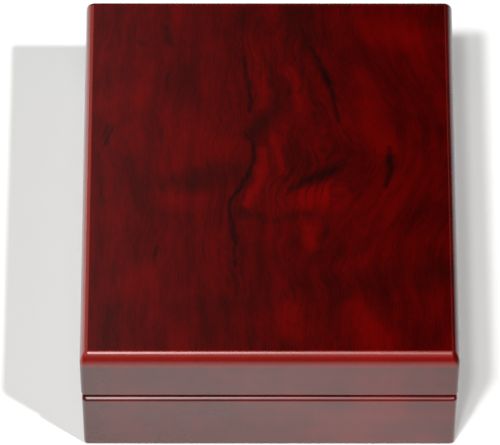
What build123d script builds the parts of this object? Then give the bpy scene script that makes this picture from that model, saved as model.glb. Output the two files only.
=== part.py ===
from build123d import *
from math import atan2, cos, degrees, radians, sin
import os

# Lacquered wooden presentation box: lined base, moulded hinged lid, two brass stop hinges.
# Millimetres, +Z up, front at -Y. The origin is the centre of the base's underside, on the felt.

os.makedirs("parts", exist_ok=True)

# ---------------------------------------------------------------- driving dimensions
lid_width = 203.2
base_side_inset = 0.4  # the base is this much narrower than the lid on each side
base_depth = 232.6
lid_setback = 1.4  # step between the front faces; the back faces are flush
total_height = 91.3
base_rim_z = 49.2
joint_gap = 0.9  # shadow gap between the two rims

wall = 11.0
mitre_angle = 45.0
mitre_cut_reach = 1.5 * wall
arris_r = 2.4  # outer edges, all but those at the foot of the base
foot_arris_r = 1.0
inner_arris_r = 0.8

felt_thickness = 0.8
felt_inset = 4.0
felt_corner_r = 3.0
bottom_panel_thickness = 5.0
bottom_rabbet = 6.0  # how far the bottom panel runs into each wall

top_panel_thickness = 12.0
top_field_thickness = 3.0  # raised field that locates the top panel in the lid frame
moulding_set_in = 3.4
moulding_drop = 9.3

tongue_width = 8.0
tongue_thickness = 3.0
tongue_mitre_distance = 10.0  # from the outer corner, along the mitre
tongue_cover = 7.0  # wood left above and below each loose tongue

liner_thickness = 2.5
liner_set_down = 1.0  # how far the liners stop short of each rim
liner_edge_r = 0.8
pad_thickness = 5.0
pad_edge_r = 1.6
pad_board_thickness = 2.0
slip_gap = 0.2  # round the boards and the field that drop into the frames

bumper_r = 3.0
bumper_height = 0.8
bumper_edge_r = 0.5
bumper_corner_distance = 25.0

hinge_spacing = 110.0
hinge_length = 40.0
leaf_width = 8.5  # from the back face into the rim
leaf_thickness = 1.2
leaf_fit_gap = 0.1
knuckle_r = 2.4
knuckle_count = 5
knuckle_end_gap = 0.2
barrel_clearance = 0.3
pin_r = 1.0
pin_running_gap = 0.05
pin_standoff = 0.9  # pin axis behind the back faces
pin_end_proud = 0.3
stop_lug_tip_r = 3.6
stop_lug_thickness = 1.2
stop_lug_gap = 0.2  # between the moving lug's bridge and the knuckle under it
fixed_lug_angle = -33.5  # about the pin, from straight back, upwards positive
moving_lug_angle = 90.0

screw_r = 1.0
screw_length = 8.5
screw_tip_length = 2.0
screw_head_r = 1.9
screw_head_height = 0.9
screw_fit_gap = 0.05
screw_slot_width = 0.5
screw_slot_depth = 0.35
screw_pitch = 13.0
screw_row_distance = 5.0  # in front of the back face
screw_stagger = 0.9
pilot_extra_depth = 0.3

# ---------------------------------------------------------------- derived dimensions
back_y = base_depth / 2
base_width = lid_width - 2 * base_side_inset
base_bottom_z = felt_thickness
base_inner_width = base_width - 2 * wall
base_inner_depth = base_depth - 2 * wall
bottom_panel_top_z = base_bottom_z + bottom_panel_thickness

lid_depth = base_depth - lid_setback
lid_centre_y = lid_setback / 2
lid_inner_width = lid_width - 2 * wall
lid_inner_depth = lid_depth - 2 * wall
lid_rim_z = base_rim_z + joint_gap
lid_frame_top_z = total_height - top_panel_thickness
field_bottom_z = lid_frame_top_z - top_field_thickness

moulding_angle = 2 * degrees(atan2(moulding_set_in, moulding_drop))
moulding_r = moulding_drop / sin(radians(moulding_angle))

pin_y = back_y + pin_standoff
pin_z = base_rim_z + joint_gap / 2
plate_back_y = pin_y - knuckle_r - barrel_clearance
plate_front_y = back_y - leaf_width
barrel_recess_r = knuckle_r + barrel_clearance
barrel_recess_length = hinge_length + 4 * pin_end_proud
knuckle_pitch = hinge_length / knuckle_count
knuckle_length = knuckle_pitch - knuckle_end_gap
fixed_knuckles = (0, 2, 4)
moving_knuckles = (1, 3)
stop_knuckle = 2

sides = ("front", "back", "left", "right")
hinge_xs = {"left": -hinge_spacing / 2, "right": hinge_spacing / 2}


def save(piece, name):
    """Label a finished piece and write it as one node."""
    piece.label = name
    export_step(piece, f"parts/{name}.step")


# ---------------------------------------------------------------- what both frames share
def mitre_outline(width, depth, side):
    """Plan of one board: its outer edge and two 45 degree cuts, past the wall's thickness."""
    half_w, half_d = width / 2, depth / 2
    first, second = {
        "front": ((-half_w, -half_d), (half_w, -half_d)),
        "back": ((half_w, half_d), (-half_w, half_d)),
        "left": ((-half_w, half_d), (-half_w, -half_d)),
        "right": ((half_w, -half_d), (half_w, half_d)),
    }[side]
    inner = [
        tuple(v - mitre_cut_reach * (1 if v > 0 else -1) for v in corner)
        for corner in (second, first)
    ]
    return [first, second, *inner]


def mitred_board(frame, plane, width, depth, side):
    """One wall board, cut from its frame at the two mitres."""
    with BuildPart() as board:
        add(frame)
        with BuildSketch(plane):
            Polygon(*mitre_outline(width, depth, side), align=None)
        extrude(amount=total_height, mode=Mode.INTERSECT)
    return board.part


def tongue_places(width, depth):
    """Where the loose tongues lie across the four mitres."""
    places = []
    for sx in (-1, 1):
        for sy in (-1, 1):
            x = sx * (width / 2 - tongue_mitre_distance * cos(radians(mitre_angle)))
            y = sy * (depth / 2 - tongue_mitre_distance * sin(radians(mitre_angle)))
            places.append(Location((x, y, 0), (0, 0, -mitre_angle * sx * sy)))
    return places


def mitre_tongues(plane, width, depth, low_z, high_z):
    """Four loose tongues, hidden in the mitres."""
    with BuildPart() as tongues:
        with BuildSketch(plane.offset(low_z)):
            with Locations(*tongue_places(width, depth)):
                Rectangle(tongue_width, tongue_thickness)
        extrude(amount=high_z - low_z)
    return tongues.part


def screw_places(rim_z, turn):
    """The screws of both hinges on one rim, with the middle one set off the line."""
    places = []
    for hinge_x in hinge_xs.values():
        for step in (-1, 0, 1):
            stagger = screw_stagger if step == 0 else -screw_stagger
            y = back_y - screw_row_distance + stagger
            places.append(Location((hinge_x + step * screw_pitch, y, rim_z), (turn, 0, 0)))
    return places


def hinge_cutter(rim_z, up):
    """What one rim loses to the hinges: leaf pockets, barrel recesses and pilot holes."""
    pocket_front_y = plate_front_y - leaf_fit_gap
    with BuildPart() as cutter:
        with BuildSketch(Plane.XY.offset(rim_z)):
            for hinge_x in hinge_xs.values():
                with Locations((hinge_x, (pocket_front_y + pin_y) / 2)):
                    Rectangle(hinge_length + 2 * leaf_fit_gap, pin_y - pocket_front_y)
        extrude(amount=up * leaf_thickness)
        with BuildSketch(Plane.XY.offset(rim_z)):
            for hinge_x in hinge_xs.values():
                with Locations((hinge_x, (plate_back_y + pin_y) / 2)):
                    Rectangle(barrel_recess_length, pin_y - plate_back_y)
        extrude(amount=up * (barrel_recess_r - joint_gap / 2))
        with BuildSketch(Plane.XY.offset(rim_z)):
            with Locations(*screw_places(0, 0)):
                Circle(screw_r + screw_fit_gap)
        extrude(amount=up * (screw_length + pilot_extra_depth))
    return cutter.part


def inner_rim_edges(part, rim_z, width, depth, plane):
    """The four edges where a frame's rim meets its inner faces."""
    centre_y = plane.origin.Y
    return (
        part.edges()
        .filter_by_position(Axis.Z, rim_z, rim_z)
        .filter_by_position(Axis.X, -width / 2, width / 2)
        .filter_by_position(Axis.Y, centre_y - depth / 2, centre_y + depth / 2)
    )


# ---------------------------------------------------------------- base
base_plane = Plane.XY
base_tongue_low_z = bottom_panel_top_z + tongue_cover
base_tongue_high_z = base_rim_z - tongue_cover

base_cutter = hinge_cutter(base_rim_z, -1)
base_mitre_splines = mitre_tongues(
    base_plane, base_width, base_depth, base_tongue_low_z, base_tongue_high_z
)

with BuildPart() as base_frame:
    with BuildSketch(Plane.XY.offset(base_bottom_z)):
        Rectangle(base_width, base_depth)
    extrude(amount=base_rim_z - base_bottom_z)
    fillet(
        base_frame.edges().filter_by(Axis.Z) + base_frame.edges().group_by(Axis.Z)[-1],
        radius=arris_r,
    )
    fillet(base_frame.edges().group_by(Axis.Z)[0], radius=foot_arris_r)
    with BuildSketch(Plane.XY.offset(base_bottom_z)):
        Rectangle(base_inner_width, base_inner_depth)
    extrude(amount=base_rim_z, mode=Mode.SUBTRACT)
    fillet(
        inner_rim_edges(
            base_frame, base_rim_z, base_inner_width, base_inner_depth, base_plane
        ),
        radius=inner_arris_r,
    )
    with BuildSketch(Plane.XY.offset(base_bottom_z)):
        Rectangle(base_inner_width + 2 * bottom_rabbet, base_inner_depth + 2 * bottom_rabbet)
    extrude(amount=bottom_panel_thickness, mode=Mode.SUBTRACT)
    add(base_mitre_splines, mode=Mode.SUBTRACT)
    add(base_cutter, mode=Mode.SUBTRACT)

for side in sides:
    save(
        mitred_board(base_frame.part, base_plane, base_width, base_depth, side),
        f"base_{side}_wall",
    )
save(base_mitre_splines, "base_mitre_splines")

with BuildPart() as base_bottom_panel:
    with BuildSketch(Plane.XY.offset(base_bottom_z)):
        Rectangle(base_inner_width + 2 * bottom_rabbet, base_inner_depth + 2 * bottom_rabbet)
    extrude(amount=bottom_panel_thickness)
save(base_bottom_panel.part, "base_bottom_panel")

with BuildPart() as base_felt:
    with BuildSketch(Plane.XY):
        RectangleRounded(
            base_width - 2 * felt_inset, base_depth - 2 * felt_inset, felt_corner_r
        )
    extrude(amount=felt_thickness)
save(base_felt.part, "base_felt")

with BuildPart() as rim_bumpers:
    with BuildSketch(Plane.XY.offset(base_rim_z)):
        with GridLocations(
            base_inner_width + wall - arris_r + inner_arris_r,
            base_depth - 2 * bumper_corner_distance,
            2,
            2,
        ):
            Circle(bumper_r)
    extrude(amount=bumper_height)
    fillet(rim_bumpers.edges().group_by(Axis.Z)[-1], radius=bumper_edge_r)
save(rim_bumpers.part, "rim_bumpers")

# ---------------------------------------------------------------- lid
lid_plane = Plane((0, lid_centre_y, 0))
lid_front_section = Plane((0, lid_centre_y, 0), x_dir=(1, 0, 0), z_dir=(0, -1, 0))
lid_side_section = Plane((0, lid_centre_y, 0), x_dir=(0, 1, 0), z_dir=(1, 0, 0))
lid_tongue_low_z = lid_rim_z + tongue_cover
lid_tongue_high_z = lid_frame_top_z - tongue_cover


def moulded_section(plane, half_width):
    """The lid's section: upright sides that curl in to a flat top with a crisp arris."""
    with BuildSketch(plane) as section:
        with BuildLine():
            underside = Line((0, lid_rim_z), (half_width, lid_rim_z))
            upright = Line(underside @ 1, (half_width, total_height - moulding_drop))
            moulding = JernArc(upright @ 1, (0, 1), moulding_r, moulding_angle)
            Line(moulding @ 1, (0, total_height))
            mirror(about=Plane.YZ)
        make_face()
    return section.sketch


with BuildPart() as lid_form:
    extrude(moulded_section(lid_front_section, lid_width / 2), amount=lid_depth / 2, both=True)
    extrude(
        moulded_section(lid_side_section, lid_depth / 2),
        amount=lid_width / 2,
        both=True,
        mode=Mode.INTERSECT,
    )
    uprights = lid_form.edges().filter_by(Axis.Z)
    moulding_mitres = lid_form.edges().filter_by(GeomType.LINE, reverse=True)
    level_edges = lid_form.edges().group_by(Axis.Z)[-1] + lid_form.edges().group_by(Axis.Z)[0]
    fillet(uprights + moulding_mitres + level_edges, radius=arris_r)

lid_cutter = hinge_cutter(lid_rim_z, 1)
lid_mitre_splines = mitre_tongues(
    lid_plane, lid_width, lid_depth, lid_tongue_low_z, lid_tongue_high_z
)

with BuildPart() as lid_frame:
    add(lid_form.part)
    with BuildSketch(lid_plane.offset(lid_frame_top_z)):
        Rectangle(2 * lid_width, 2 * lid_depth)
    extrude(amount=total_height, mode=Mode.SUBTRACT)
    with BuildSketch(lid_plane.offset(lid_rim_z)):
        Rectangle(lid_inner_width, lid_inner_depth)
    extrude(amount=total_height, mode=Mode.SUBTRACT)
    fillet(
        inner_rim_edges(lid_frame, lid_rim_z, lid_inner_width, lid_inner_depth, lid_plane),
        radius=inner_arris_r,
    )
    add(lid_mitre_splines, mode=Mode.SUBTRACT)
    add(lid_cutter, mode=Mode.SUBTRACT)

for side in sides:
    save(
        mitred_board(lid_frame.part, lid_plane, lid_width, lid_depth, side),
        f"lid_{side}_wall",
    )
save(lid_mitre_splines, "lid_mitre_splines")

with BuildPart() as lid_top_panel:
    add(lid_form.part)
    with BuildSketch(lid_plane.offset(lid_frame_top_z)):
        Rectangle(2 * lid_width, 2 * lid_depth)
    extrude(amount=top_panel_thickness, mode=Mode.INTERSECT)
    with BuildSketch(lid_plane.offset(field_bottom_z)):
        Rectangle(lid_inner_width - 2 * slip_gap, lid_inner_depth - 2 * slip_gap)
    extrude(amount=top_field_thickness)
save(lid_top_panel.part, "lid_top_panel")


# ---------------------------------------------------------------- lining
def liner(plane, width, depth, side, low_z, high_z, rim_z):
    """One cloth-covered lining board; the side boards run the full depth."""
    across = (width - 2 * liner_thickness, liner_thickness)
    along = (liner_thickness, depth)
    place, size = {
        "front": ((0, (liner_thickness - depth) / 2), across),
        "back": ((0, (depth - liner_thickness) / 2), across),
        "left": (((liner_thickness - width) / 2, 0), along),
        "right": (((width - liner_thickness) / 2, 0), along),
    }[side]
    with BuildPart() as board:
        with BuildSketch(plane.offset(low_z)):
            with Locations(place):
                Rectangle(*size)
        extrude(amount=high_z - low_z)
        rim_edge_z = high_z if rim_z > low_z else low_z
        rim_edges = board.edges().filter_by_position(Axis.Z, rim_edge_z, rim_edge_z)
        fillet(rim_edges.sort_by(SortBy.LENGTH)[-2:], radius=liner_edge_r)
    return board.part


def lining_sheet(plane, width, depth, low_z, thickness):
    """A flat piece that fills the floor between the four liners."""
    with BuildPart() as sheet:
        with BuildSketch(plane.offset(low_z)):
            Rectangle(
                width - 2 * (liner_thickness + slip_gap),
                depth - 2 * (liner_thickness + slip_gap),
            )
        extrude(amount=thickness)
    return sheet.part


base_liner_top_z = base_rim_z - liner_set_down
lid_liner_low_z = lid_rim_z + liner_set_down
floor_pad_low_z = bottom_panel_top_z + pad_board_thickness
lid_pad_high_z = field_bottom_z - pad_board_thickness
lid_pad_low_z = lid_pad_high_z - pad_thickness

for side in sides:
    save(
        liner(
            base_plane,
            base_inner_width,
            base_inner_depth,
            side,
            bottom_panel_top_z,
            base_liner_top_z,
            base_rim_z,
        ),
        f"base_liner_{side}",
    )
    save(
        liner(
            lid_plane,
            lid_inner_width,
            lid_inner_depth,
            side,
            lid_liner_low_z,
            field_bottom_z,
            lid_rim_z,
        ),
        f"lid_liner_{side}",
    )

base_size = (base_inner_width, base_inner_depth)
lid_size = (lid_inner_width, lid_inner_depth)
save(
    lining_sheet(base_plane, *base_size, bottom_panel_top_z, pad_board_thickness),
    "base_pad_board",
)
save(lining_sheet(lid_plane, *lid_size, lid_pad_high_z, pad_board_thickness), "lid_pad_board")

with BuildPart() as base_floor_pad:
    add(lining_sheet(base_plane, *base_size, floor_pad_low_z, pad_thickness))
    fillet(base_floor_pad.edges().group_by(Axis.Z)[-1], radius=pad_edge_r)
save(base_floor_pad.part, "base_floor_pad")

with BuildPart() as lid_pad:
    add(lining_sheet(lid_plane, *lid_size, lid_pad_low_z, pad_thickness))
    fillet(lid_pad.edges().group_by(Axis.Z)[0], radius=pad_edge_r)
save(lid_pad.part, "lid_pad")


# ---------------------------------------------------------------- hinges
def knuckle_plane(hinge_x, index):
    """Plane across the pin at the start of one knuckle, with local x pointing back."""
    start_x = hinge_x - hinge_length / 2 + index * knuckle_pitch + knuckle_end_gap / 2
    return Plane((start_x, pin_y, pin_z), x_dir=(0, 1, 0), z_dir=(1, 0, 0))


def radial_bar(plane, angle, inner_r, length):
    """Add a stop lug: a bar that stands out from the barrel at an angle."""
    middle_r = (inner_r + stop_lug_tip_r) / 2
    with BuildSketch(plane) as section:
        with Locations(
            Location(
                (middle_r * cos(radians(angle)), middle_r * sin(radians(angle))), angle
            )
        ):
            Rectangle(stop_lug_tip_r - inner_r, stop_lug_thickness)
    extrude(section.sketch, amount=length)


def leaf_body(hinge_x, plate_low_z, knuckles):
    """A leaf's plate with its own knuckles, before the lug and the bore."""
    with BuildPart() as leaf:
        with BuildSketch(Plane.XY.offset(plate_low_z)):
            with Locations((hinge_x, (plate_front_y + plate_back_y) / 2)):
                Rectangle(hinge_length, plate_back_y - plate_front_y)
            for index in knuckles:
                middle_x = knuckle_plane(hinge_x, index).origin.X + knuckle_length / 2
                with Locations((middle_x, (plate_back_y + pin_y) / 2)):
                    Rectangle(knuckle_length, pin_y - plate_back_y)
        extrude(amount=leaf_thickness)
        for index in knuckles:
            with BuildSketch(knuckle_plane(hinge_x, index)):
                Circle(knuckle_r)
            extrude(amount=knuckle_length)
    return leaf.part


def bore(hinge_x, radius):
    """Cut the pin's bore right through a leaf's knuckles."""
    with BuildSketch(knuckle_plane(hinge_x, 0)) as section:
        Circle(radius)
    extrude(section.sketch, amount=hinge_length, mode=Mode.SUBTRACT)


def leaf_screw_holes(rim_z, turn):
    """Countersink a leaf's screw holes from its open face."""
    with Locations(*screw_places(rim_z, turn)):
        CounterSinkHole(
            radius=screw_r + screw_fit_gap,
            counter_sink_radius=screw_head_r + screw_fit_gap,
            depth=2 * leaf_thickness,
            counter_sink_angle=2 * degrees(atan2(screw_head_r - screw_r, screw_head_height)),
        )


for hinge_side, hinge_x in hinge_xs.items():
    with BuildPart() as lower_leaf:
        add(leaf_body(hinge_x, base_rim_z - leaf_thickness, fixed_knuckles))
        radial_bar(
            knuckle_plane(hinge_x, stop_knuckle), fixed_lug_angle, pin_r, knuckle_length
        )
        bore(hinge_x, pin_r)
        leaf_screw_holes(base_rim_z, 0)
    save(lower_leaf.part, f"{hinge_side}_hinge_lower_leaf")

    with BuildPart() as upper_leaf:
        add(leaf_body(hinge_x, lid_rim_z, moving_knuckles))
        for index in moving_knuckles:
            radial_bar(
                knuckle_plane(hinge_x, index), moving_lug_angle, pin_r, knuckle_length
            )
        radial_bar(
            knuckle_plane(hinge_x, moving_knuckles[0]),
            moving_lug_angle,
            knuckle_r + stop_lug_gap,
            2 * knuckle_pitch + knuckle_length,
        )
        bore(hinge_x, pin_r + pin_running_gap)
        leaf_screw_holes(lid_rim_z, 180)
    save(upper_leaf.part, f"{hinge_side}_hinge_upper_leaf")

    with BuildPart() as hinge_pin:
        with BuildSketch(
            Plane(
                (hinge_x - hinge_length / 2 - pin_end_proud, pin_y, pin_z),
                x_dir=(0, 1, 0),
                z_dir=(1, 0, 0),
            )
        ):
            Circle(pin_r)
        extrude(amount=hinge_length + 2 * pin_end_proud)
        fillet(hinge_pin.edges().filter_by(GeomType.CIRCLE), radius=pin_end_proud)
    save(hinge_pin.part, f"{hinge_side}_hinge_pin")

with BuildPart() as screw:
    with BuildSketch(Plane.XZ):
        with BuildLine():
            Polyline(
                (0, 0),
                (screw_head_r, 0),
                (screw_r, -screw_head_height),
                (screw_r, screw_tip_length - screw_length),
                (0, -screw_length),
                close=True,
            )
        make_face()
    revolve(axis=Axis.Z)
    with BuildSketch(Plane.XY):
        Rectangle(2 * screw_head_r, screw_slot_width)
    extrude(amount=-screw_slot_depth, mode=Mode.SUBTRACT)

with BuildPart() as base_hinge_screws:
    with Locations(*screw_places(base_rim_z, 0)):
        add(screw.part)
save(base_hinge_screws.part, "base_hinge_screws")

with BuildPart() as lid_hinge_screws:
    with Locations(*screw_places(lid_rim_z, 180)):
        add(screw.part)
save(lid_hinge_screws.part, "lid_hinge_screws")
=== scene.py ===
"""Looks for the lacquered presentation box: materials, padded lining, stage, light and camera."""

import math

import bmesh
import bpy
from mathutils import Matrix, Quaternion, Vector, noise


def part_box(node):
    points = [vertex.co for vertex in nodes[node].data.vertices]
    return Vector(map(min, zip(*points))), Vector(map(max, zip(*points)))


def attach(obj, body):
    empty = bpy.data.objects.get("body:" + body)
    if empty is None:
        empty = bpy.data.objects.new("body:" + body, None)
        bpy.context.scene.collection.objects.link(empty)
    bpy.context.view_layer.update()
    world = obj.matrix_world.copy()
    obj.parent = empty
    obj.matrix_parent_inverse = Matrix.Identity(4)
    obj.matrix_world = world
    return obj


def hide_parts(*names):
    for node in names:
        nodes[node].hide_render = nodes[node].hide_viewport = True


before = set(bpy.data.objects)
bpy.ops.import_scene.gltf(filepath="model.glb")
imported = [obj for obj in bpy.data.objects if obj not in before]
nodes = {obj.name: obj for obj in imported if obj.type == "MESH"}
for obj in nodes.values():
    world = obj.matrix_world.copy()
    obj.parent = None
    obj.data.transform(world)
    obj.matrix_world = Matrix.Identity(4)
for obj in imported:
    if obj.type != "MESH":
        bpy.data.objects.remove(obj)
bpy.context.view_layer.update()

MM = 0.001
TOP_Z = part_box("lid_top_panel")[1].z
BASE_HALF_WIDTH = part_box("base_front_wall")[1].x
BASE_HALF_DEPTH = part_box("base_back_wall")[1].y

# lacquer
MOULDING_DROP = 9.3 * MM  # how far the lid's edge moulding comes down from the top
# the glow on the lid's curves is edge wear with painted highlight and painted shade; it is strongest
# on the top arris
ARRIS_DROP = 3.0 * MM  # the top arris, where the glow is strongest, lies above this
# painted reflection: the edge colour is paler on the left, standing in for the gloss's veil, which
# fades to the right
EDGE_RED_PAINTED_VEIL_LEFT = (0.34, 0.0150, 0.0090)
EDGE_RED_PAINTED_VEIL_RIGHT = (0.34, 0.0030, 0.0010)
# painted highlight: a pale tint for the top arris, standing in for the soft lower edge of the
# reflector's highlight
ARRIS_PAINTED_HIGHLIGHT = (0.37, 0.0480, 0.0400)
LINE_PITCH = 4.2 * MM  # between the fine dark lines of the lid's figure
BULGE_Y = 0.02  # the grain bows outwards on the right about this place

# stage: the gloss sees the floor darken between these distances from the box
FLAGS_START = 0.03
FLAGS_END = 0.24
REFLECTOR_RISE = 0.36  # share of a reflector's height over which it comes up to strength

# soft pieces: how far a face swells, how round its edges are and how coarse its mesh is
LINER_CROWN = 0.35 * MM
LINER_EDGE = 0.8 * MM
LINER_GRID = 3.0 * MM
PAD_CROWN = 1.9 * MM
PAD_EDGE = 1.4 * MM
PAD_GRID = 4.0 * MM
PAD_SIDE_GAP = 0.3 * MM
PUCKER_REACH = 9.0 * MM  # how far in from the rim the gathers fade
SIM_FRAMES = 20

# fine patterns: from one thread or ply to the next
SATIN_THREAD = 0.42 * MM
PLY_PITCH = 2.2 * MM

# camera: where it looks, from how far and how high, and with what lens (in millimetres)
CAMERA_ELEVATION = math.radians(58.2)
CAMERA_ROLL = math.radians(0.04)
CAMERA_DISTANCE = 2.8835
CAMERA_AIM = Vector((-0.0112, -0.0305, 0.0920))
CAMERA_SIDE_STEP = Vector((0.0006, 0.0, 0.0))
CAMERA_LENS = 384.1
CAMERA_SENSOR = 36.0

# world: how pale it looks to the camera, and how strongly it lights the rest
WORLD_TO_EYE = 0.96
WORLD_STRENGTH = 0.012


# ---------------------------------------------------------------- node helpers
class Shader:
    """A material under construction: short calls for the nodes that these materials use."""

    def __init__(self, name):
        self.material = bpy.data.materials.new(name)
        self.material.use_nodes = True
        self.tree = self.material.node_tree
        self.tree.nodes.clear()
        self.bsdf = self.node("ShaderNodeBsdfPrincipled")
        output = self.node("ShaderNodeOutputMaterial")
        self.link(self.bsdf.outputs[0], output.inputs["Surface"])
        coordinates = self.node("ShaderNodeTexCoord")
        self.place = coordinates.outputs["Object"]
        split = self.node("ShaderNodeSeparateXYZ")
        self.link(self.place, split.inputs[0])
        self.x, self.y, self.z = split.outputs
        self.normal = coordinates.outputs["Normal"]

    def node(self, kind, **settings):
        made = self.tree.nodes.new(kind)
        for key, value in settings.items():
            setattr(made, key, value)
        return made

    def link(self, start, end):
        self.tree.links.new(start, end)

    def feed(self, socket, value):
        """Link a socket's output, or set a plain number or vector."""
        if isinstance(value, bpy.types.NodeSocket):
            self.link(value, socket)
        else:
            socket.default_value = value

    def math(self, operation, *values, clamp=False):
        made = self.node("ShaderNodeMath", operation=operation, use_clamp=clamp)
        for socket, value in zip(made.inputs, values):
            self.feed(socket, value)
        return made.outputs[0]

    def vector(self, x=0.0, y=0.0, z=0.0):
        made = self.node("ShaderNodeCombineXYZ")
        for socket, value in zip(made.inputs, (x, y, z)):
            self.feed(socket, value)
        return made.outputs[0]

    def noise(self, place, scale, detail=2.0, roughness=0.5, distortion=0.0):
        made = self.node("ShaderNodeTexNoise")
        self.feed(made.inputs["Vector"], place)
        made.inputs["Scale"].default_value = scale
        made.inputs["Detail"].default_value = detail
        made.inputs["Roughness"].default_value = roughness
        made.inputs["Distortion"].default_value = distortion
        return made.outputs["Fac"]

    def span(self, value, low, high, to_low=0.0, to_high=1.0, smooth=True):
        """Map low..high to to_low..to_high, held at both ends."""
        made = self.node("ShaderNodeMapRange")
        made.interpolation_type = "SMOOTHSTEP" if smooth else "LINEAR"
        for socket, number in zip(made.inputs, (value, low, high, to_low, to_high)):
            self.feed(socket, number)
        return made.outputs[0]

    def ramp(self, value, *stops):
        made = self.node("ShaderNodeValToRGB")
        elements = made.color_ramp.elements
        while len(elements) < len(stops):
            elements.new(0.5)
        for element, (position, color) in zip(elements, stops):
            element.position = position
            element.color = (*color, 1.0)
        self.feed(made.inputs[0], value)
        return made.outputs[0]

    def mix(self, factor, first, second, blend="MIX"):
        made = self.node("ShaderNodeMix", data_type="RGBA", blend_type=blend)
        self.feed(made.inputs["Factor"], factor)
        for socket, value in zip(made.inputs[6:8], (first, second)):
            self.feed(socket, (*value, 1.0) if isinstance(value, tuple) else value)
        return made.outputs[2]

    def bump(self, height, distance, strength=1.0):
        made = self.node("ShaderNodeBump")
        made.inputs["Strength"].default_value = strength
        made.inputs["Distance"].default_value = distance
        self.feed(made.inputs["Height"], height)
        return made.outputs[0]

    def surface(self, **inputs):
        """Set the Principled inputs; underscores in a name stand for spaces."""
        for key, value in inputs.items():
            self.feed(self.bsdf.inputs[key.replace("_", " ")], value)
        return self.material


def finish_node(material, *names):
    """Give CAD nodes a material."""
    for name in names:
        slots = nodes[name].material_slots
        for slot in slots:
            slot.material = material


# ---------------------------------------------------------------- rosewood
# Places on the lid are in millimetres from the middle of the box: x to the right, y to the back.
# A vein is (half width in mm, darkness, points along it).
VEINS = [
    (1.6, 0.50, [(-14, 108), (-15, 90), (-14, 76)]),
    (2.1, 0.95, [(-14, 77), (-13, 66)]),
    (2.9, 0.95, [(-13, 66), (-11, 56)]),
    (2.3, 0.90, [(-11, 56), (-10, 48), (-11, 42)]),
    (1.7, 0.85, [(-13, 27), (-9, 22)]),
    (2.2, 0.95, [(-9, 22), (-8, 13), (-11, 2)]),
    (2.7, 1.00, [(-11, 2), (-16, -8), (-21, -15)]),
    (2.6, 1.00, [(-21, -15), (-22, -22), (-20, -33)]),
    (2.9, 0.90, [(-20, -33), (-19, -42)]),
    (1.8, 0.80, [(-19, -42), (-19, -57)]),
    (2.2, 0.80, [(23, 84), (26, 77)]),
    (3.8, 1.00, [(26, 77), (29, 70)]),
    (4.6, 1.10, [(29, 70), (33, 59)]),
    (3.0, 0.95, [(33, 59), (36, 48)]),
    (2.2, 0.75, [(36, 48), (38, 35)]),
    (4.2, 0.80, [(12, -9), (20, -3)]),
    (6.2, 0.95, [(20, -3), (28, 0)]),
    (6.8, 0.95, [(28, 0), (36, 4)]),
    (4.0, 0.60, [(36, 4), (40, 8)]),
    (2.8, 0.80, [(65, 18), (66, 12)]),
    (4.8, 1.10, [(66, 12), (66, 5)]),
    (4.2, 1.10, [(66, 5), (64, -2)]),
    (3.2, 0.95, [(64, -2), (63, -7)]),
    (2.0, 0.75, [(-86, 30), (-90, 20)]),
    (1.8, 0.55, [(-88, 32), (-92, 24)]),
    (3.0, 0.65, [(-57, 97), (-56, 92)]),
    (4.4, 0.75, [(-56, 91), (-55, 87)]),
    (1.7, 0.60, [(-56, 65), (-56, 55)]),
    (1.5, 0.35, [(-56, 55), (-59, 42)]),
    (2.0, 0.80, [(-61, -46), (-62, -52)]),
    (1.5, 0.55, [(-62, -52), (-62, -57)]),
    (3.2, 0.45, [(-71, 87), (-69, 86)]),
    (2.0, 0.35, [(-83, 95), (-83, 84)]),
]
SMUDGES = [
    (4.5, 0.60, [(6, 62), (5, 48)]),
    (8.0, 1.15, [(5, 46), (-1, 35), (-13, 27)]),
    (6.0, 0.55, [(-58, -8), (-49, -4)]),
    (12.0, 0.85, [(-49, -4), (-31, 0), (-16, 5)]),
    (6.8, 1.15, [(-15, -22), (-12, -24)]),
    (5.0, 0.90, [(-10, -24), (-3, -27)]),
    (6.6, 1.10, [(6, -27), (12, -26)]),
    (3.4, 0.70, [(12, -26), (22, -24)]),
    (4.2, 0.85, [(30, -27), (31, -33), (27, -48)]),
    (6.0, 0.60, [(61, -27), (57, -35), (50, -48)]),
    (3.6, 0.75, [(22, 64), (25, 50), (26, 34)]),
    (3.0, 0.75, [(-1, 74), (1, 58)]),
    (2.6, 0.60, [(8, 78), (12, 64), (10, 52)]),
    (2.6, 0.55, [(15, 80), (19, 66), (17, 54)]),
    (2.4, 0.50, [(-24, 74), (-25, 52), (-28, 36)]),
    (2.4, 0.45, [(0, 22), (4, 8), (1, -10)]),
    (2.6, 0.50, [(9, 18), (12, 4), (6, -14)]),
    (20.0, 0.80, [(16, 106), (24, 92)]),
    (18.0, 0.80, [(64, -64), (92, -60)]),
    (10.0, 0.50, [(50, -62), (58, -86)]),
    (14.0, 0.50, [(-92, -66), (-84, -104)]),
    (9.0, 0.50, [(-36, -84), (6, -76)]),
    (10.0, 0.40, [(-70, 10), (-66, -20)]),
    (7.0, 0.40, [(88, 96), (94, 60)]),
    (5.5, 0.45, [(30, -92), (44, -70)]),
]
BRIGHT_PATCHES = [
    (12.0, 1.00, [(20, -14), (38, -13)]),
    (7.0, 0.80, [(22, -34), (24, -44)]),
    (17.0, 0.70, [(62, 92), (84, 88)]),
    (5.5, 0.90, [(-4, 14), (-5, -4), (-12, -16)]),
    (5.0, 0.70, [(3, 24), (6, 2)]),
    (5.0, 0.50, [(-2, 62), (-4, 46)]),
    (4.0, 0.45, [(12, 70), (16, 44)]),
    (16.0, 0.40, [(-90, 46), (-72, 54)]),
    (16.0, 0.60, [(46, -84), (58, -106)]),
    (13.0, 0.36, [(-84, -72), (-72, -64)]),
    (14.0, 0.50, [(50, 62), (62, 20)]),
    (11.0, 0.35, [(-60, -14), (-36, -16)]),
    (9.0, 0.35, [(4, -60), (10, -100)]),
]


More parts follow.
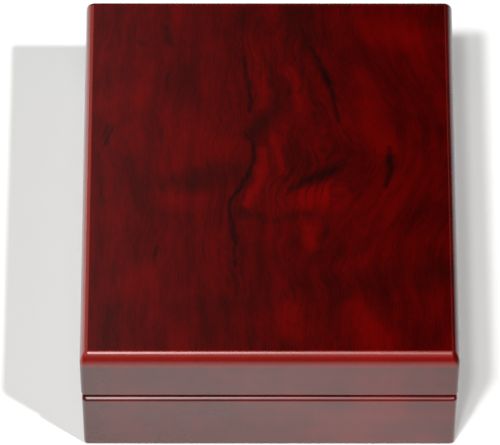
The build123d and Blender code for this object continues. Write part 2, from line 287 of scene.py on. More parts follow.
def stroke_group():
    """Node group that draws one soft line: 1 along it, falling to 0 at its half width.

    The vector it passes on holds x, y and, as z, the strongest line there so far, so that
    long chains of it need little room when they run.
    """
    group = bpy.data.node_groups.new("soft_stroke", "ShaderNodeTree")
    interface = group.interface
    for name in ("Canvas", "Start", "Run"):
        interface.new_socket(name, in_out="INPUT", socket_type="NodeSocketVector")
    for name in ("Half width", "Strength"):
        interface.new_socket(name, in_out="INPUT", socket_type="NodeSocketFloat")
    interface.new_socket("Canvas", in_out="OUTPUT", socket_type="NodeSocketVector")
    entry = group.nodes.new("NodeGroupInput").outputs
    leave = group.nodes.new("NodeGroupOutput").inputs

    def step(kind, operation, *sources, clamp=False):
        made = group.nodes.new(kind)
        made.operation = operation
        if clamp:
            made.use_clamp = True
        for socket, source in zip(made.inputs, sources):
            if isinstance(source, tuple):
                socket.default_value = source
            else:
                group.links.new(source, socket)
        return made

    vector, number = "ShaderNodeVectorMath", "ShaderNodeMath"
    flat = step(vector, "MULTIPLY", entry["Canvas"], (1.0, 1.0, 0.0)).outputs[0]
    offset = step(vector, "SUBTRACT", flat, entry["Start"]).outputs[0]
    along = step(vector, "DOT_PRODUCT", offset, entry["Run"]).outputs["Value"]
    whole = step(vector, "DOT_PRODUCT", entry["Run"], entry["Run"]).outputs["Value"]
    share = step(number, "DIVIDE", along, whole, clamp=True).outputs[0]
    scaled = step(vector, "SCALE", entry["Run"])
    group.links.new(share, scaled.inputs["Scale"])
    distance = step(vector, "DISTANCE", offset, scaled.outputs[0]).outputs["Value"]
    fade = group.nodes.new("ShaderNodeMapRange")
    fade.interpolation_type = "SMOOTHSTEP"
    fade.inputs["To Min"].default_value = 1.0
    fade.inputs["To Max"].default_value = 0.0
    group.links.new(distance, fade.inputs["Value"])
    group.links.new(entry["Half width"], fade.inputs["From Max"])
    amount = step(number, "MULTIPLY", fade.outputs[0], entry["Strength"]).outputs[0]
    so_far = group.nodes.new("ShaderNodeSeparateXYZ")
    group.links.new(entry["Canvas"], so_far.inputs[0])
    most = step(number, "MAXIMUM", amount, so_far.outputs[2]).outputs[0]
    upright = step(vector, "MULTIPLY", most, (0.0, 0.0, 1.0)).outputs[0]
    joined = step(vector, "ADD", upright, flat).outputs[0]
    group.links.new(joined, leave["Canvas"])
    return group


def strokes(shader, group, place, lines):
    """The strongest of a list of drawn lines at each point."""
    canvas = place
    for half_width, strength, points in lines:
        for (x0, y0), (x1, y1) in zip(points, points[1:]):
            one = shader.node("ShaderNodeGroup", node_tree=group)
            shader.feed(one.inputs["Canvas"], canvas)
            one.inputs["Start"].default_value = (x0 * MM, y0 * MM, 0)
            one.inputs["Run"].default_value = ((x1 - x0) * MM, (y1 - y0) * MM, 0)
            one.inputs["Half width"].default_value = half_width * MM
            one.inputs["Strength"].default_value = strength
            canvas = one.outputs[0]
    parts = shader.node("ShaderNodeSeparateXYZ")
    shader.feed(parts.inputs[0], canvas)
    return parts.outputs[2]


def wandering(shader, place, scale, reach):
    """A place shaken sideways by noise, so that drawn lines get ragged edges."""
    made = shader.node("ShaderNodeTexNoise")
    shader.feed(made.inputs["Vector"], place)
    made.inputs["Scale"].default_value = scale
    made.inputs["Detail"].default_value = 3.0
    shaken = shader.node("ShaderNodeVectorMath", operation="MULTIPLY_ADD")
    shader.feed(shaken.inputs[0], made.outputs["Color"])
    shaken.inputs[1].default_value = (reach, reach, 0.0)
    shader.feed(shaken.inputs[2], place)
    centred = shader.node("ShaderNodeVectorMath", operation="SUBTRACT")
    shader.feed(centred.inputs[0], shaken.outputs[0])
    centred.inputs[1].default_value = (reach / 2, reach / 2, 0.0)
    return centred.outputs[0]


def lid_figure(shader, group):
    """Figured veneer with its grain front to back, curled round the middle of the lid, with painted
    shade darkening it towards the right.
    """
    flat = shader.vector(shader.x, shader.y, 0.0)
    middle = strokes(shader, group, flat, [(62.0, 1.0, [(8, 70), (8, -50)])])
    from_middle = shader.math("ABSOLUTE", shader.math("SUBTRACT", shader.y, BULGE_Y))
    bulge = shader.span(from_middle, 0.0, 0.085, 1.0, 0.0)
    bulge = shader.math("MULTIPLY", bulge, shader.span(shader.x, 0.02, 0.075, 0.0, -0.024))
    sway = shader.math("SUBTRACT", shader.noise(flat, 10.0, 2.0), 0.5)
    curl = shader.math("SUBTRACT", shader.noise(flat, 42.0, 3.0), 0.5)
    curl = shader.math("MULTIPLY", curl, shader.span(middle, 0.0, 0.7, 0.15, 1.0))
    across = shader.math("MULTIPLY_ADD", sway, 0.028, shader.x)
    across = shader.math("MULTIPLY_ADD", curl, 0.017, across)
    across = shader.math("ADD", across, bulge)

    def streaked(squeeze, level, scale, detail, roughness):
        """Noise drawn out along the grain: squeeze is how much finer it is across."""
        place = shader.vector(shader.math("MULTIPLY", across, squeeze), shader.y, level)
        return shader.noise(place, scale, detail, roughness)

    fibres = shader.span(streaked(26.0, 0.0, 50.0, 5.0, 0.72), 0.32, 0.68, smooth=False)
    pores = shader.span(streaked(9.0, 0.3, 210.0, 2.0, 0.6), 0.3, 0.7, smooth=False)
    bands = shader.span(streaked(6.5, 0.7, 24.0, 4.0, 0.6), 0.3, 0.7)
    blotches = shader.span(shader.noise(flat, 22.0, 5.0, 0.62), 0.3, 0.7)
    lines = shader.math("SINE", shader.math("MULTIPLY", across, math.tau / LINE_PITCH))
    lines = shader.span(lines, 0.1, 0.95)
    lines = shader.math("MULTIPLY", lines, shader.span(middle, 0.05, 0.75))
    in_patches = shader.span(streaked(3.0, 0.1, 26.0, 2.0, 0.5), 0.42, 0.62)
    lines = shader.math("MULTIPLY", lines, in_patches)
    livelier = shader.span(shader.x, -0.07, 0.01, 0.55, 1.0)
    blotches = shader.math("MULTIPLY_ADD", shader.math("SUBTRACT", blotches, 0.5), livelier, 0.5)
    tone = shader.math("MULTIPLY", fibres, 0.22)
    tone = shader.math("MULTIPLY_ADD", pores, 0.20, tone)
    tone = shader.math("MULTIPLY_ADD", bands, 0.26, tone)
    tone = shader.math("MULTIPLY_ADD", blotches, 0.32, tone)
    color = shader.ramp(
        tone,
        (0.10, (0.022, 0.0009, 0.0005)),
        (0.38, (0.056, 0.0006, 0.0003)),
        (0.62, (0.092, 0.0005, 0.0002)),
        (0.95, (0.150, 0.0008, 0.0003)),
    )
    grainy = shader.math("MULTIPLY_ADD", tone, 0.9, 0.45)
    ragged = wandering(shader, flat, 150.0, 0.0024)
    loose = wandering(shader, flat, 62.0, 0.0110)
    bright = shader.math("MULTIPLY", strokes(shader, group, loose, BRIGHT_PATCHES), grainy)
    color = shader.mix(shader.math("MULTIPLY", bright, 0.66), color, (0.205, 0.0003, 0.0001))
    color = shader.mix(shader.math("MULTIPLY", lines, 0.46), color, (0.022, 0.0010, 0.0006))
    uneven = shader.math("MULTIPLY_ADD", tone, -0.9, 1.35)
    smudge = shader.math("MULTIPLY", strokes(shader, group, loose, SMUDGES), uneven)
    smudge = shader.math("MULTIPLY", smudge, 0.66, clamp=True)
    color = shader.mix(smudge, color, (0.019, 0.0014, 0.0009))
    uneven = shader.math("MULTIPLY_ADD", tone, -0.5, 1.30)
    dark = shader.math("MULTIPLY", strokes(shader, group, ragged, VEINS), uneven)
    dark = shader.math("MULTIPLY", dark, 0.78, clamp=True)
    color = shader.mix(dark, color, (0.008, 0.0010, 0.0010))
    # painted shade: the whole lid top is darker towards the right, where less light falls
    to_right = shader.span(shader.x, -0.09, 0.09)
    painted_shade_to_right = shader.ramp(to_right, (0, (1, 1, 1)), (1, (0.80, 0.80, 0.80)))
    return shader.mix(1.0, color, painted_shade_to_right, "MULTIPLY")


def wall_figure(shader):
    """Straight-grained veneer that runs along each board."""
    facing = shader.node("ShaderNodeSeparateXYZ")
    shader.link(shader.normal, facing.inputs[0])
    sideways = shader.math("GREATER_THAN", shader.math("ABSOLUTE", facing.outputs[0]), 0.7)
    along = shader.math(
        "ADD",
        shader.math("MULTIPLY", shader.y, sideways),
        shader.math("MULTIPLY", shader.x, shader.math("SUBTRACT", 1.0, sideways)),
    )
    place = shader.vector(along, sideways, shader.z)
    sway = shader.math("SUBTRACT", shader.noise(place, 14.0, 2.0), 0.5)
    across = shader.math("MULTIPLY_ADD", sway, 0.02, shader.z)
    grain = shader.vector(along, sideways, shader.math("MULTIPLY", across, 20.0))
    fibres = shader.span(shader.noise(grain, 30.0, 4.0, 0.6), 0.3, 0.7, smooth=False)
    bands = shader.vector(along, sideways, shader.math("MULTIPLY", across, 4.0))
    bands = shader.span(shader.noise(bands, 20.0, 3.0, 0.55), 0.3, 0.7)
    upright = shader.vector(along, sideways, shader.math("MULTIPLY", shader.z, 0.4))
    clouds = shader.span(shader.noise(upright, 34.0, 3.0, 0.55), 0.32, 0.68)
    tone = shader.math("MULTIPLY", fibres, 0.18)
    tone = shader.math("MULTIPLY_ADD", bands, 0.30, tone)
    tone = shader.math("MULTIPLY_ADD", clouds, 0.52, tone)
    color = shader.ramp(
        tone,
        (0.10, (0.092, 0.0020, 0.0011)),
        (0.50, (0.116, 0.0022, 0.0012)),
        (0.90, (0.160, 0.0028, 0.0015)),
    )
    # less red towards the left end of the front and back boards, a little less at their right end,
    # and on both side walls
    to_right = shader.span(shader.x, -0.1, 0.1, smooth=False)
    less_red_at_sides = shader.ramp(to_right, (0, (0.62, 1, 1)), (0.85, (1, 1, 1)), (1, (0.72, 1, 1)))
    return shader.mix(1.0, color, less_red_at_sides, "MULTIPLY")


def edge_wear_and_painted_light(shader):
    """Where the colouring has thinned on the lid's curves, as edge wear, plus painted light:
    strongest in front, on the left and on the top arris as painted highlight, and faded on faces
    turned right or back as painted shade.
    """
    facing = shader.node("ShaderNodeSeparateXYZ")
    shader.link(shader.normal, facing.inputs[0])
    tilted = shader.span(facing.outputs[2], 0.9998, 0.985)
    moulded = shader.span(shader.z, TOP_Z - MOULDING_DROP - MM, TOP_Z - MOULDING_DROP)
    amount = shader.math("MULTIPLY", tilted, moulded)
    # painted shade: faces turned to the right or the back get little of the glow
    for axis in (0, 1):
        painted_shade_right_back = shader.span(facing.outputs[axis], 0.02, 0.25, 1.0, 0.06)
        amount = shader.math("MULTIPLY", amount, painted_shade_right_back)
    # painted highlight: the glow is raised on the top arris and on faces turned to the left, where
    # the light falls
    high = shader.span(shader.z, TOP_Z - ARRIS_DROP, TOP_Z - MM, 0.50, 0.68)
    high = shader.math("MAXIMUM", high, shader.span(facing.outputs[0], -0.5, -0.2, 0.86, 0.0))
    return shader.math("MULTIPLY", amount, high)


def rosewood():
    """Dark red veneer under thick clear gloss, brighter where the colouring thins on the edges, with
    painted highlight and painted reflection on the lid's curves.
    """
    shader = Shader("rosewood_lacquer")
    group = stroke_group()
    on_top = shader.span(shader.z, TOP_Z - MOULDING_DROP - MM, TOP_Z - MOULDING_DROP)
    color = shader.mix(on_top, wall_figure(shader), lid_figure(shader, group))
    # painted reflection: the edge colour is paler on the left, where the veil is
    to_right = shader.span(shader.x, -0.1, 0.1, smooth=False)
    edge_colour_with_painted_light = shader.ramp(to_right, (0, EDGE_RED_PAINTED_VEIL_LEFT), (1, EDGE_RED_PAINTED_VEIL_RIGHT))
    # painted highlight: the paler tint on the top arris
    on_arris = shader.span(shader.z, TOP_Z - ARRIS_DROP, TOP_Z - MM)
    edge_colour_with_painted_light = shader.mix(on_arris, edge_colour_with_painted_light, ARRIS_PAINTED_HIGHLIGHT)
    # edge wear mixed with painted highlight, painted reflection and painted shade
    color = shader.mix(edge_wear_and_painted_light(shader), color, edge_colour_with_painted_light)
    orange_peel = shader.noise(shader.place, 260.0, 1.0)
    return shader.surface(
        Base_Color=color,
        Roughness=0.42,
        Specular_IOR_Level=0.03,
        Coat_Weight=1.0,
        Coat_Roughness=0.06,
        Coat_IOR=1.6,
        Coat_Normal=shader.bump(orange_peel, 0.00002, 0.6),
    )


lacquered_rosewood = rosewood()
finish_node(lacquered_rosewood, "lid_top_panel")
for body in ("base", "lid"):
    for side in ("front", "back", "left", "right"):
        finish_node(lacquered_rosewood, f"{body}_{side}_wall")


# ---------------------------------------------------------------- cloth, brass and hidden boards
def velvet():
    """Black short-pile velvet: a dark nap that catches the light at a slant and lies in patches."""
    shader = Shader("black_velvet")
    nap = shader.noise(shader.place, 26.0, 3.0, 0.6)
    pile = shader.noise(shader.place, 2600.0, 2.0, 0.7)
    pile_tone = shader.span(pile, 0.3, 0.7)
    tone = shader.math("MULTIPLY_ADD", pile_tone, 0.45, shader.span(nap, 0.35, 0.65))
    return shader.surface(
        Base_Color=shader.ramp(
            tone,
            (0.0, (0.0080, 0.0075, 0.0085)),
            (0.7, (0.0100, 0.0094, 0.0106)),
            (1.0, (0.0125, 0.0117, 0.0131)),
        ),
        Roughness=0.95,
        Specular_IOR_Level=0.15,
        Sheen_Weight=0.55,
        Sheen_Roughness=0.35,
        Sheen_Tint=(0.34, 0.33, 0.38, 1.0),
        Normal=shader.bump(pile, 0.00018, 0.8),
    )


def weave(shader, pitch):
    """Height of a satin weave: long floats along Y that each dive under one thread in five."""
    warp = shader.math("MULTIPLY", shader.x, 1.0 / pitch)
    weft = shader.math("MULTIPLY", shader.y, 1.0 / pitch)
    thread = shader.math("SINE", shader.math("MULTIPLY", warp, math.tau))
    thread = shader.math("MULTIPLY_ADD", thread, 0.5, 0.5)
    step = shader.math("MULTIPLY", shader.math("FLOOR", warp), 2.0)
    dive = shader.math("FRACT", shader.math("MULTIPLY", shader.math("ADD", weft, step), 0.2))
    dive = shader.span(shader.math("ABSOLUTE", shader.math("SUBTRACT", dive, 0.5)), 0.0, 0.14)
    return shader.math("MULTIPLY", thread, dive)


def satin():
    """Ivory satin with its sheen along the floats and a slight unevenness of dye."""
    shader = Shader("ivory_satin")
    threads = weave(shader, SATIN_THREAD)
    dye = shader.noise(shader.place, 22.0, 3.0, 0.6)
    slubs = shader.noise(
        shader.vector(shader.math("MULTIPLY", shader.x, 30.0), shader.y, shader.z), 60.0, 2.0
    )
    tone = shader.math("MULTIPLY_ADD", threads, 0.22, shader.math("MULTIPLY", dye, 0.6))
    tone = shader.math("MULTIPLY_ADD", shader.span(slubs, 0.45, 0.75), 0.2, tone)
    return shader.surface(
        Base_Color=shader.ramp(
            tone,
            (0.1, (0.76, 0.66, 0.49)),
            (0.5, (0.88, 0.79, 0.62)),
            (0.9, (0.94, 0.88, 0.74)),
        ),
        Roughness=0.34,
        Specular_IOR_Level=0.55,
        Anisotropic=0.55,
        Sheen_Weight=0.25,
        Sheen_Roughness=0.3,
        Sheen_Tint=(1.0, 0.96, 0.88, 1.0),
        Normal=shader.bump(shader.math("MULTIPLY_ADD", dye, 0.8, threads), 0.00006, 0.7),
    )


def felt():
    """Black self-adhesive felt: matted fibres."""
    shader = Shader("black_felt")
    matt = shader.noise(shader.place, 900.0, 5.0, 0.75, 1.6)
    lumps = shader.noise(shader.place, 120.0, 3.0)
    tone = shader.math("MULTIPLY_ADD", lumps, 0.4, shader.math("MULTIPLY", matt, 0.8))
    return shader.surface(
        Base_Color=shader.ramp(
            tone, (0.3, (0.008, 0.008, 0.010)), (0.9, (0.035, 0.035, 0.040))
        ),
        Roughness=1.0,
        Specular_IOR_Level=0.1,
        Sheen_Weight=0.3,
        Sheen_Roughness=0.6,
        Normal=shader.bump(matt, 0.0003, 1.0),
    )


def plywood():
    """Sanded birch ply, with fine grain along X and its plies in Z."""
    shader = Shader("birch_plywood")
    grain = shader.noise(
        shader.vector(shader.x, shader.math("MULTIPLY", shader.y, 14.0), shader.z), 30.0, 5.0, 0.6
    )
    plies = shader.math("SINE", shader.math("MULTIPLY", shader.z, math.tau / PLY_PITCH))
    tone = shader.math("MULTIPLY_ADD", plies, 0.12, grain)
    return shader.surface(
        Base_Color=shader.ramp(
            tone, (0.3, (0.38, 0.24, 0.12)), (0.55, (0.58, 0.42, 0.25)), (0.8, (0.70, 0.55, 0.36))
        ),
        Roughness=shader.span(grain, 0.3, 0.7, 0.55, 0.72),
        Normal=shader.bump(grain, 0.0001, 0.5),
    )


def greyboard():
    """Plain pressed board with flecks of fibre."""
    shader = Shader("greyboard")
    flecks = shader.noise(shader.place, 1400.0, 3.0, 0.7)
    cloud = shader.noise(shader.place, 80.0, 2.0)
    tone = shader.math("MULTIPLY_ADD", cloud, 0.4, shader.math("MULTIPLY", flecks, 0.7))
    return shader.surface(
        Base_Color=shader.ramp(tone, (0.3, (0.20, 0.16, 0.11)), (0.8, (0.46, 0.40, 0.30))),
        Roughness=0.85,
        Normal=shader.bump(flecks, 0.0001, 0.6),
    )


def brass():
    """Polished brass with drawn lines along the barrel and a little tarnish."""
    shader = Shader("polished_brass")
    drawn = shader.noise(
        shader.vector(shader.x, shader.math("MULTIPLY", shader.y, 40.0), shader.z), 60.0, 4.0, 0.6
    )
    tarnish = shader.noise(shader.place, 260.0, 4.0, 0.65)
    spots = shader.span(tarnish, 0.52, 0.72)
    return shader.surface(
        Base_Color=shader.mix(spots, (0.54, 0.39, 0.19), (0.36, 0.25, 0.12)),
        Metallic=1.0,
        Roughness=shader.math(
            "MULTIPLY_ADD", spots, 0.14, shader.span(drawn, 0.3, 0.7, 0.20, 0.34)
        ),
        Normal=shader.bump(drawn, 0.00002, 0.35),
    )


def silicone():
    """Milky clear bumper discs with a few specks of dust."""
    shader = Shader("clear_silicone")
    cloud = shader.noise(shader.place, 500.0, 3.0)
    dust = shader.span(shader.noise(shader.place, 3000.0, 1.0), 0.70, 0.76)
    milky = shader.mix(cloud, (0.72, 0.73, 0.70), (0.86, 0.86, 0.83))
    return shader.surface(
        Base_Color=shader.mix(dust, milky, (0.45, 0.43, 0.40)),
        Roughness=shader.span(cloud, 0.3, 0.7, 0.22, 0.38),
        IOR=1.41,
        Transmission_Weight=0.55,
    )


# ---------------------------------------------------------------- padded and covered pieces
def stations(length, radius, step):
    """Places along an edge: close together in the rounded ends, even between them."""
    ends = [radius * (1 - math.cos(math.radians(turn))) for turn in (0, 22.5, 45, 67.5)]
    count = max(1, round((length - 2 * radius) / step))
    middle = [radius + (length - 2 * radius) * i / count for i in range(count + 1)]
    return ends + middle + [length - place for place in reversed(ends)]


def rounded_board(name, low, high, radius, step):
    """A closed board with a fine grid on every face and all its edges rounded."""
    size = high - low
    inner_low = low + Vector((radius, radius, radius))
    inner_high = high - Vector((radius, radius, radius))
    shell = bmesh.new()
    known = {}

    def corner(place):
        key = tuple(round(v, 7) for v in place)
        if key not in known:
            core = Vector([min(max(v, a), b) for v, a, b in zip(place, inner_low, inner_high)])
            known[key] = shell.verts.new(core + radius * (Vector(place) - core).normalized())
        return known[key]

    rows = [[low[i] + place for place in stations(size[i], radius, step)] for i in range(3)]
    for axis in range(3):
        first, second = (axis + 1) % 3, (axis + 2) % 3
        for level in (low[axis], high[axis]):
            for u0, u1 in zip(rows[first], rows[first][1:]):
                for v0, v1 in zip(rows[second], rows[second][1:]):
                    ring = []
                    for u, v in ((u0, v0), (u1, v0), (u1, v1), (u0, v1)):
                        place = [0.0, 0.0, 0.0]
                        place[axis], place[first], place[second] = level, u, v
                        ring.append(corner(place))
                    shell.faces.new(ring if level == high[axis] else reversed(ring))
    mesh = bpy.data.meshes.new(name)
    shell.to_mesh(mesh)
    shell.free()
    board = bpy.data.objects.new(name, mesh)
    bpy.context.scene.collection.objects.link(board)
    mesh.shade_smooth()
    return board


def stand_for(piece, node, body, material):
    """Put a soft piece in the place of its CAD node."""
    piece.data.materials.append(material)
    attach(piece, body)
    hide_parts(node)


def covered_liner(body, side, material):
    """A card wrapped in velvet: rounded edges, a low crown and slight unevenness on its open face."""
    node = f"{body}_liner_{side}"
    low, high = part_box(node)
    axis, sign = {"front": (1, 1), "back": (1, -1), "left": (0, 1), "right": (0, -1)}[side]
    along = 1 - axis
    face_low, face_high = low.copy(), high.copy()
    if sign > 0:
        face_high[axis] -= LINER_CROWN
    else:
        face_low[axis] += LINER_CROWN
    piece = rounded_board(f"{node}_cover", face_low, face_high, LINER_EDGE, LINER_GRID)
    middle = (low + high) / 2
    half = (high - low) / 2
    for vertex in piece.data.vertices:
        place = vertex.co
        open_side = (place[axis] - middle[axis]) * sign / half[axis]
        if open_side <= 0:
            continue
        u = (place[along] - middle[along]) / half[along]
        v = (place.z - middle.z) / half.z
        crown = (1 - u**8) * (1 - v**4) * min(open_side * 1.5, 1.0)
        uneven = 0.5 + 0.5 * noise.noise(place * 90.0 + Vector((3.0 * axis, 0, sign)))
        place[axis] += sign * LINER_CROWN * max(crown, 0.0) * (0.7 + 0.3 * uneven)
    stand_for(piece, node, body, material)


def blow_up(piece, held, most):
    """Swell a closed piece by cloth simulation, with some vertices held, and apply the result."""
    start = [vertex.co.copy() for vertex in piece.data.vertices]
    group = piece.vertex_groups.new(name="held")
    group.add(held, 1.0, "REPLACE")
    cloth = piece.modifiers.new("swell", "CLOTH")
    cloth.settings.quality = 6
    cloth.settings.mass = 0.3
    cloth.settings.tension_stiffness = 12.0
    cloth.settings.compression_stiffness = 12.0
    cloth.settings.bending_stiffness = 0.4
    cloth.settings.use_pressure = True
    cloth.settings.uniform_pressure_force = 4.0
    cloth.settings.effector_weights.gravity = 0.0
    cloth.settings.vertex_group_mass = "held"
    cloth.settings.shrink_min = -0.004
    cloth.point_cache.frame_start = 1
    cloth.point_cache.frame_end = SIM_FRAMES
    for step in range(1, SIM_FRAMES + 1):
        bpy.context.scene.frame_set(step)
    posed = piece.evaluated_get(bpy.context.evaluated_depsgraph_get())
    moved = [vertex.co.copy() for vertex in posed.data.vertices]
    piece.modifiers.remove(cloth)
    piece.vertex_groups.clear()
    bpy.context.scene.frame_set(1)
    for vertex, before, after in zip(piece.data.vertices, start, moved):
        shift = after - before
        if shift.length > 0:
            reach = most * math.tanh(shift.length / most)
            vertex.co = before + shift * (reach / shift.length)


def subdivided(piece):
    """Apply one level of subdivision."""
    piece.modifiers.new("smooth", "SUBSURF").levels = 1
    posed = piece.evaluated_get(bpy.context.evaluated_depsgraph_get())
    mesh = bpy.data.meshes.new_from_object(posed)
    piece.modifiers.clear()
    piece.data = mesh


def padded_sheet(name, node, body, material, grows, pucker):
    """Foam under cloth on its board: flat behind, crowned in front, gathered at the rim."""
    low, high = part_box(node)
    start_low, start_high = low.copy(), high.copy()
    start_low += Vector((PAD_SIDE_GAP, PAD_SIDE_GAP, PAD_CROWN if grows < 0 else 0.0))
    start_high -= Vector((PAD_SIDE_GAP, PAD_SIDE_GAP, PAD_CROWN if grows > 0 else 0.0))
    piece = rounded_board(name, start_low, start_high, PAD_EDGE, PAD_GRID)
    board_z = high.z if grows < 0 else low.z
    held = [
        vertex.index for vertex in piece.data.vertices if abs(vertex.co.z - board_z) < PAD_EDGE
    ]
    blow_up(piece, held, PAD_CROWN * 0.8)
    subdivided(piece)
    middle = (low + high) / 2
    half = (high - low) / 2
    for vertex in piece.data.vertices:
        place = vertex.co
        rise = abs(place.z - board_z)
        if rise < PAD_EDGE:
            continue
        beside = half.x - abs(place.x - middle.x)
        before = half.y - abs(place.y - middle.y)
        edge, run = (beside, place.y) if beside < before else (before, place.x)
        fold = noise.noise(Vector((run * 120.0, 0.0, 4.0 * grows)))
        fold += 0.5 * noise.noise(Vector((run * 340.0, edge * 30.0, 9.0)))
        depth = math.exp(-edge / PUCKER_REACH) * (1 - math.exp(-edge / (0.25 * PUCKER_REACH)))
        slack = noise.noise(Vector((place.x * 26.0, place.y * 17.0, 2.0 * grows)))
        place.z += grows * (pucker * depth * fold + 0.35 * pucker * slack)
        place.z = min(max(place.z, low.z), high.z)
    stand_for(piece, node, body, material)


black_velvet = velvet()
for body in ("base", "lid"):
    for side in ("front", "back", "left", "right"):
        covered_liner(body, side, black_velvet)
padded_sheet(
    "base_floor_cushion", "base_floor_pad", "base", black_velvet, 1, 0.25 * MM
)
padded_sheet("lid_cushion", "lid_pad", "lid", satin(), -1, 0.8 * MM)

finish_node(felt(), "base_felt")
finish_node(plywood(), "base_bottom_panel", "base_mitre_splines", "lid_mitre_splines")
finish_node(greyboard(), "base_pad_board", "lid_pad_board")
finish_node(silicone(), "rim_bumpers")
polished_brass = brass()
finish_node(polished_brass, "base_hinge_screws", "lid_hinge_screws")
for side in ("left", "right"):
    for part in ("lower_leaf", "upper_leaf", "pin"):
        finish_node(polished_brass, f"{side}_hinge_{part}")


# ---------------------------------------------------------------- stage, light, camera
def from_box(shader):
    """Distance outside the box's footprint, counted slower on the sides, most of all on the left."""
    beside = shader.math("SUBTRACT", shader.math("ABSOLUTE", shader.x), BASE_HALF_WIDTH)
    before = shader.math("SUBTRACT", shader.math("ABSOLUTE", shader.y), BASE_HALF_DEPTH)
    slower = shader.span(shader.x, -0.1, 0.1, 0.4, 0.9)
    beside = shader.math("MULTIPLY", shader.math("MAXIMUM", beside, 0.0), slower)
    before = shader.math("MAXIMUM", before, 0.0)
    squares = shader.math("MULTIPLY", before, before)
    squares = shader.math("ADD", squares, shader.math("MULTIPLY", beside, beside))
    return shader.math("SQRT", squares)


def make_floor():
    """A plain pale floor that the gloss sees darker far off, as black flags would make it,

    and, to the gloss only, a little darker at the box's foot and on its right: painted shade in the
    reflection.
    """
    shader = Shader("pale_floor")
    grain = shader.noise(shader.place, 40.0, 3.0)
    pale = shader.ramp(grain, (0.0, (0.89, 0.89, 0.88)), (1.0, (0.91, 0.91, 0.90)))
    gloss = shader.node("ShaderNodeLightPath").outputs["Is Glossy Ray"]
    distance = from_box(shader)
    dark = shader.span(distance, FLAGS_START, FLAGS_END)
    # painted shade in the reflection: the gloss sees the floor darker at the box's foot and on its
    # right
    dark = shader.math("MAXIMUM", dark, shader.span(distance, 0.0, FLAGS_START, 0.16, 0.0))
    dark = shader.math("MAXIMUM", dark, shader.span(shader.x, -0.02, 0.16, 0.0, 0.24))
    material = shader.surface(
        Base_Color=shader.mix(shader.math("MULTIPLY", gloss, dark), pale, (0.02, 0.02, 0.02)),
        Roughness=0.9,
        Specular_IOR_Level=0.1,
    )
    bpy.ops.mesh.primitive_plane_add(size=14.0)
    floor = bpy.context.object
    floor.name = "stage_floor"
    floor.data.materials.append(material)


def reflector(name, low, high, half_width, fade, left, right):
    """A soft glowing sheet, seen only in the gloss, with its own radiance at each end.

    low and high are the (y, z) of its two level edges; fade is how far from the middle
    plane the radiance goes on changing, and it sinks to nothing at the low edge.
    """
    shader = Shader(name)
    across = shader.math("POWER", shader.span(shader.x, -fade, fade), 0.35)
    strength = shader.span(across, 0.0, 1.0, left, right, smooth=False)
    rise = shader.span(shader.z, low[1], low[1] + REFLECTOR_RISE * (high[1] - low[1]))
    shader.surface(
        Base_Color=(0, 0, 0, 1),
        Emission_Color=(1.0, 0.985, 0.98, 1),
        Emission_Strength=shader.math("MULTIPLY", strength, rise),
        Specular_IOR_Level=0.0,
    )
    corners = [
        (-half_width, *low), (half_width, *low), (half_width, *high), (-half_width, *high)
    ]
    mesh = bpy.data.meshes.new(name)
    mesh.from_pydata(corners, [], [(0, 1, 2, 3)])
    mesh.materials.append(shader.material)
    panel = bpy.data.objects.new(name, mesh)
    bpy.context.scene.collection.objects.link(panel)
    panel.visible_camera = False
    panel.visible_diffuse = False
    panel.visible_shadow = False
    panel.visible_transmission = False


def sun(name, towards, strength, width_degrees):
    """A distant soft light, seen from the box in the given direction."""
    data = bpy.data.lights.new(name, "SUN")
    data.energy = strength
    data.angle = math.radians(width_degrees)
    lamp = bpy.data.objects.new(name, data)
    lamp.rotation_euler = Vector(towards).to_track_quat("Z", "Y").to_euler()
    bpy.context.scene.collection.objects.link(lamp)


def softbox(name, place, target, size, radiance):
    """A rectangular soft light; its power is what gives its face the stated radiance."""
    data = bpy.data.lights.new(name, "AREA")
    data.shape = "RECTANGLE"
    data.size, data.size_y = size
    data.energy = radiance * size[0] * size[1] * math.pi
    lamp = bpy.data.objects.new(name, data)
    lamp.location = place
    lamp.rotation_euler = (Vector(place) - Vector(target)).to_track_quat("Z", "Y").to_euler()
    lamp.visible_camera = False
    bpy.context.scene.collection.objects.link(lamp)


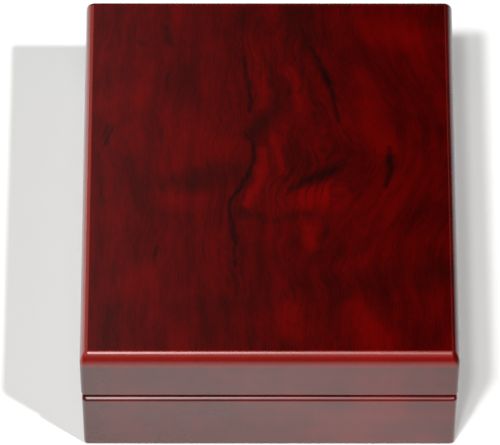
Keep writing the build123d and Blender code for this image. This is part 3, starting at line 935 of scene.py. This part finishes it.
def make_world():
    """Pale to the eye, dim to everything else, so that the gloss stays deep."""
    world = bpy.data.worlds.new("studio")
    world.use_nodes = True
    tree = world.node_tree
    tree.nodes.clear()
    output = tree.nodes.new("ShaderNodeOutputWorld")
    mix = tree.nodes.new("ShaderNodeMixShader")
    rays = tree.nodes.new("ShaderNodeLightPath")
    dim = tree.nodes.new("ShaderNodeBackground")
    dim.inputs["Color"].default_value = (0.95, 0.97, 1.0, 1.0)
    dim.inputs["Strength"].default_value = WORLD_STRENGTH
    pale = tree.nodes.new("ShaderNodeBackground")
    pale.inputs["Strength"].default_value = 1.0
    pale.inputs["Color"].default_value = (WORLD_TO_EYE, WORLD_TO_EYE, WORLD_TO_EYE, 1.0)
    tree.links.new(rays.outputs["Is Camera Ray"], mix.inputs[0])
    tree.links.new(dim.outputs[0], mix.inputs[1])
    tree.links.new(pale.outputs[0], mix.inputs[2])
    tree.links.new(mix.outputs[0], output.inputs["Surface"])
    bpy.context.scene.world = world


def make_camera():
    """A very long lens, high in front of the box and a little to its left."""
    data = bpy.data.cameras.new("camera")
    data.lens = CAMERA_LENS
    data.sensor_width = CAMERA_SENSOR
    data.clip_end = 30.0
    back_off = Vector((0, -math.cos(CAMERA_ELEVATION), math.sin(CAMERA_ELEVATION)))
    camera = bpy.data.objects.new("camera", data)
    camera.location = CAMERA_AIM + CAMERA_DISTANCE * back_off
    look = (CAMERA_AIM + CAMERA_SIDE_STEP - camera.location).to_track_quat("-Z", "Y")
    camera.rotation_euler = (look @ Quaternion((0, 0, 1), CAMERA_ROLL)).to_euler()
    bpy.context.scene.collection.objects.link(camera)
    bpy.context.scene.camera = camera


make_floor()
make_world()
sun("key_right", (0.53, -0.35, 1.0), 1.52, 2.0)
sun("key_left_low", (-0.27, -0.46, 1.0), 1.56, 5.0)
sun("key_left_high", (-0.13, -0.44, 1.0), 0.66, 4.0)
softbox("overhead_strip", (-0.16, -0.42, 1.25), (0, -0.1, 0.09), (0.5, 0.36), 5.0)
reflector("front_reflector", (-1.50, 0.56), (-0.60, 1.36), 0.16, 0.11, 7.6, 2.8)
reflector("back_left_reflector", (1.50, 1.60), (0.68, 2.10), 0.6, 0.16, 0.19, 0.0)
make_camera()

view = bpy.context.scene.view_settings
view.view_transform = "Standard"
view.look = "None"
